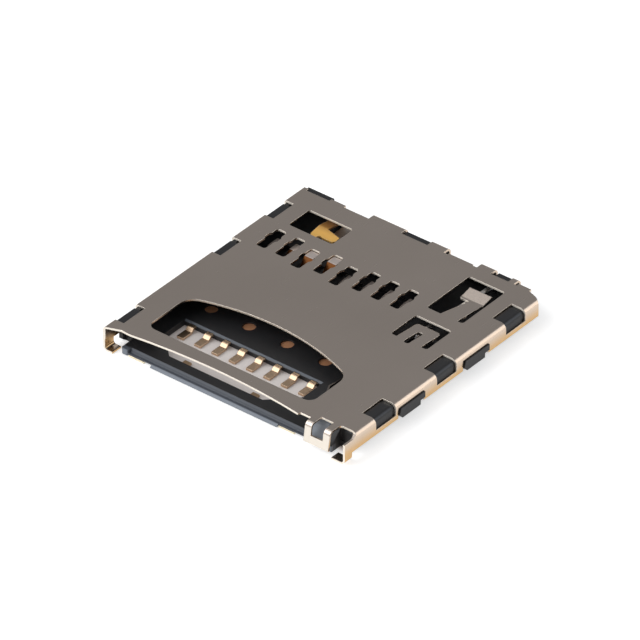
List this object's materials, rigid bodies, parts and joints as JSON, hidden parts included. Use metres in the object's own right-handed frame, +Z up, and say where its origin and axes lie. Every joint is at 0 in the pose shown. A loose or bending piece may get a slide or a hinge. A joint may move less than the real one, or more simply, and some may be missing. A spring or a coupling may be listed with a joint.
{
  "type": "memory card connector",
  "caption": "Low push-to-insert, push-to-eject memory card connector for a circuit board: folded metal cover, black moulding, sprung contacts, cam slider and detect switch.",
  "frame": {"origin": "on the board plane, below the middle of the connector's box", "axes": "+X across the mouth to the right seen from the mouth, +Y the way the card goes in, +Z up from the board"},
  "size_m": [0.0142, 0.0148, 0.0013],
  "materials": {
    "nickel_sheet": "bright nickel-plated spring sheet",
    "black_moulding": "black heat-resistant moulding, fine matt",
    "contact_plating": "plated contact strip",
    "gilt_blade": "gilt spring blade",
    "fixed_blade": "plated strip",
    "gilt_fitting": "gilt soldering strip",
    "spring_wire": "drawn stainless wire",
    "spring_leaf": "rolled stainless strip",
    "slider_moulding": "black moulding, fine matt"
  },
  "bodies": {
    "base": {"cover": "nickel_sheet", "housing": "black_moulding", "contact_1": "contact_plating", "contact_2": "contact_plating", "contact_3": "contact_plating", "contact_4": "contact_plating", "contact_5": "contact_plating", "contact_6": "contact_plating", "contact_7": "contact_plating", "contact_8": "contact_plating", "detect_spring": "gilt_blade", "detect_fixed": "fixed_blade", "fitting_left": "gilt_fitting", "fitting_right": "gilt_fitting", "eject_spring": "spring_wire"},
    "slider": {"slider": "slider_moulding", "card_hold_spring": "spring_leaf"},
    "cam_pin": {"cam_pin": "spring_wire"}
  },
  "joints": [
    {"name": "slider_slide", "type": "slide", "parent": "base", "child": "slider", "axis": [0, 1, 0], "range_m": [0, 0.0046], "stiffness_N_per_m": 120, "springref_m": -0.004, "deforming": ["eject_spring"]},
    {"name": "cam_pin_swing", "type": "hinge", "parent": "base", "child": "cam_pin", "pos_m": [0.0044, 0.00678, 0.0006], "axis": [0, 0, 1], "range_deg": [0, 7.5]}
  ]
}
